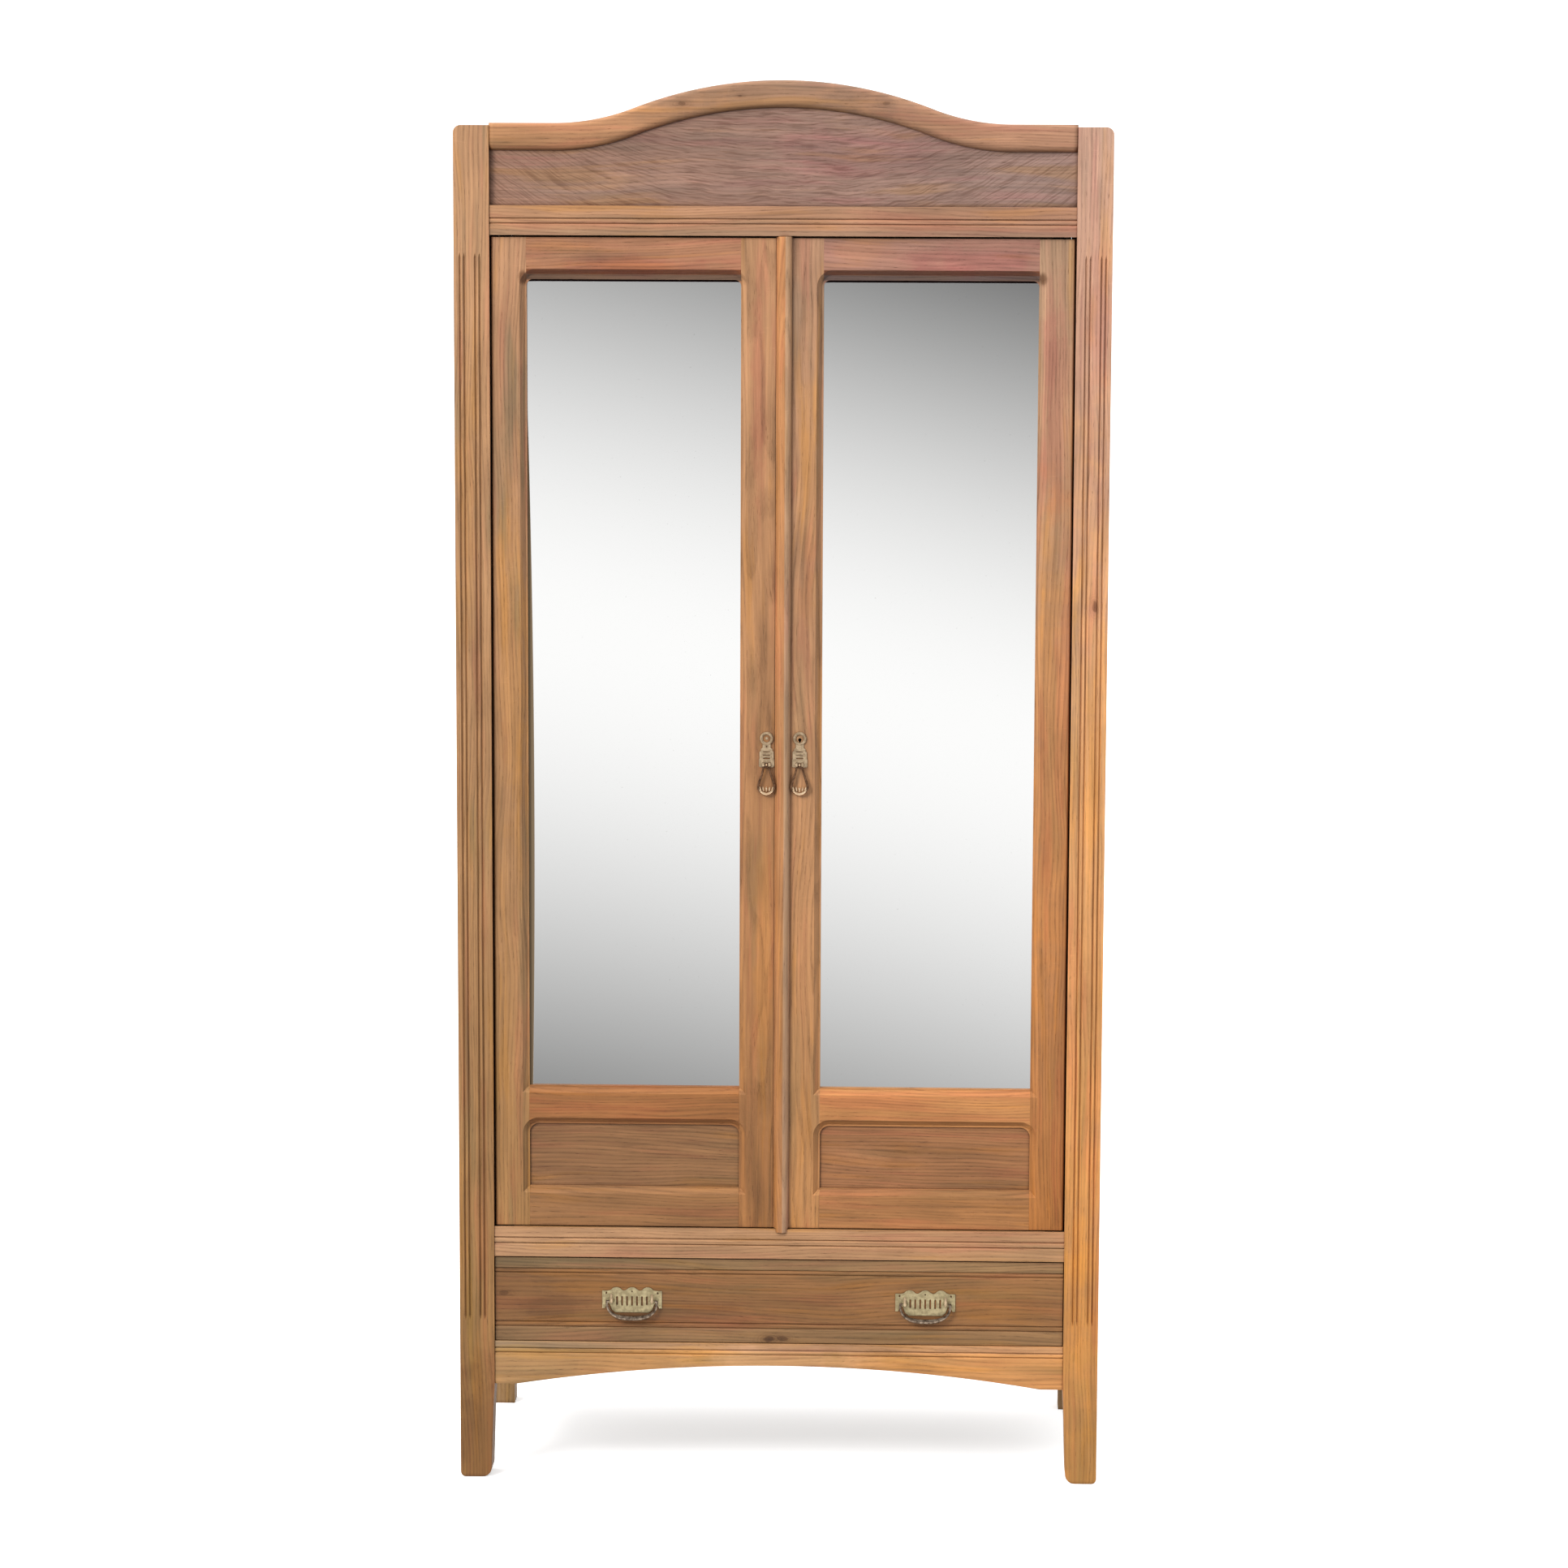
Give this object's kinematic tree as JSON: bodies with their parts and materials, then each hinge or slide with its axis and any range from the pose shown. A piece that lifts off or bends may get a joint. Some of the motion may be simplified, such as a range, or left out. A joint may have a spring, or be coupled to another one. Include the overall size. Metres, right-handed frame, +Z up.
{
  "type": "armoire",
  "caption": "Tall oak armoire with mirrored doors, an arched crest, fluted posts on legs, a full-width drawer below, and brass drop and bail pulls.",
  "frame": {"origin": "on the floor, in the middle of the whole object's plan", "axes": "+Z up, +X to the right as seen from the front, the doors face -Y"},
  "size_m": [0.96, 0.4576, 2.091],
  "materials": {
    "oak": "waxed oak, satin",
    "panel_oak": "waxed oak panel, satin, slightly darker",
    "inner_oak": "plain oak, matt",
    "brass": "aged brass, dull",
    "iron": "dark oiled iron",
    "mirror": "silvered plate glass"
  },
  "bodies": {
    "carcass": {"left_front_post": "oak", "right_front_post": "oak", "crest_rail": "oak", "upper_rail": "oak", "mid_rail": "oak", "apron_rail": "oak", "left_side_rails": "oak", "right_side_rails": "oak", "frieze_panel": "panel_oak", "left_side_panels": "panel_oak", "right_side_panels": "panel_oak", "left_rear_post": "inner_oak", "right_rear_post": "inner_oak", "rear_rails": "inner_oak", "back_boards": "inner_oak", "top_board": "inner_oak", "cabinet_floor": "inner_oak", "door_stops": "inner_oak", "hat_shelf": "inner_oak", "shelf_cleats": "inner_oak", "hanging_rail": "inner_oak", "rail_sockets": "inner_oak", "drawer_runners": "inner_oak", "pivot_sockets": "iron"},
    "left_door": {"left_door_hinge_stile": "oak", "left_door_meeting_stile": "oak", "left_door_top_rail": "oak", "left_door_lock_rail": "oak", "left_door_bottom_rail": "oak", "left_door_mirror": "mirror", "left_door_backboard": "inner_oak", "left_door_panel": "panel_oak", "left_door_pivots": "iron", "left_pull_plate": "brass", "lock_staple": "iron", "bolt_guides": "iron"},
    "right_door": {"right_door_hinge_stile": "oak", "right_door_meeting_stile": "oak", "right_door_top_rail": "oak", "right_door_lock_rail": "oak", "right_door_bottom_rail": "oak", "right_door_mirror": "mirror", "right_door_backboard": "inner_oak", "right_door_panel": "panel_oak", "right_door_pivots": "iron", "right_pull_plate": "brass", "meeting_strip": "oak", "lock_case": "iron"},
    "drawer": {"drawer_front": "oak", "drawer_sides": "inner_oak", "drawer_back": "inner_oak", "drawer_bottom": "inner_oak", "drawer_pull_plates": "brass"},
    "left_drop": {"left_drop_pull": "brass"},
    "right_drop": {"right_drop_pull": "brass"},
    "left_bail": {"left_bail": "brass"},
    "right_bail": {"right_bail": "brass"},
    "lock_bolt": {"lock_bolt": "brass"},
    "top_bolt": {"top_bolt": "iron"},
    "bottom_bolt": {"bottom_bolt": "iron"}
  },
  "joints": [
    {"name": "left_door_swing", "type": "hinge", "parent": "carcass", "child": "left_door", "pos_m": [-0.414, -0.20525, 0.387], "axis": [0, 0, -1], "range_deg": [0, 105]},
    {"name": "right_door_swing", "type": "hinge", "parent": "carcass", "child": "right_door", "pos_m": [0.414, -0.20525, 0.387], "axis": [0, 0, 1], "range_deg": [0, 105]},
    {"name": "drawer_slide", "type": "slide", "parent": "carcass", "child": "drawer", "axis": [0, -1, 0], "range_m": [0, 0.3]},
    {"name": "left_drop_swing", "type": "hinge", "parent": "left_door", "child": "left_drop", "pos_m": [-0.0208, -0.21905, 1.091], "axis": [-1, 0, 0], "range_deg": [0, 100]},
    {"name": "right_drop_swing", "type": "hinge", "parent": "right_door", "child": "right_drop", "pos_m": [0.0282, -0.21905, 1.091], "axis": [-1, 0, 0], "range_deg": [0, 100]},
    {"name": "left_bail_swing", "type": "hinge", "parent": "drawer", "child": "left_bail", "pos_m": [-0.2205, -0.22475, 0.276], "axis": [-1, 0, 0], "range_deg": [0, 95]},
    {"name": "right_bail_swing", "type": "hinge", "parent": "drawer", "child": "right_bail", "pos_m": [0.2205, -0.22475, 0.276], "axis": [-1, 0, 0], "range_deg": [0, 95]},
    {"name": "lock_bolt_slide", "type": "slide", "parent": "right_door", "child": "lock_bolt", "axis": [-1, 0, 0], "range_m": [0, 0.012]},
    {"name": "top_bolt_slide", "type": "slide", "parent": "left_door", "child": "top_bolt", "axis": [0, 0, 1], "range_m": [0, 0.011]},
    {"name": "bottom_bolt_slide", "type": "slide", "parent": "left_door", "child": "bottom_bolt", "axis": [0, 0, -1], "range_m": [0, 0.011]}
  ]
}
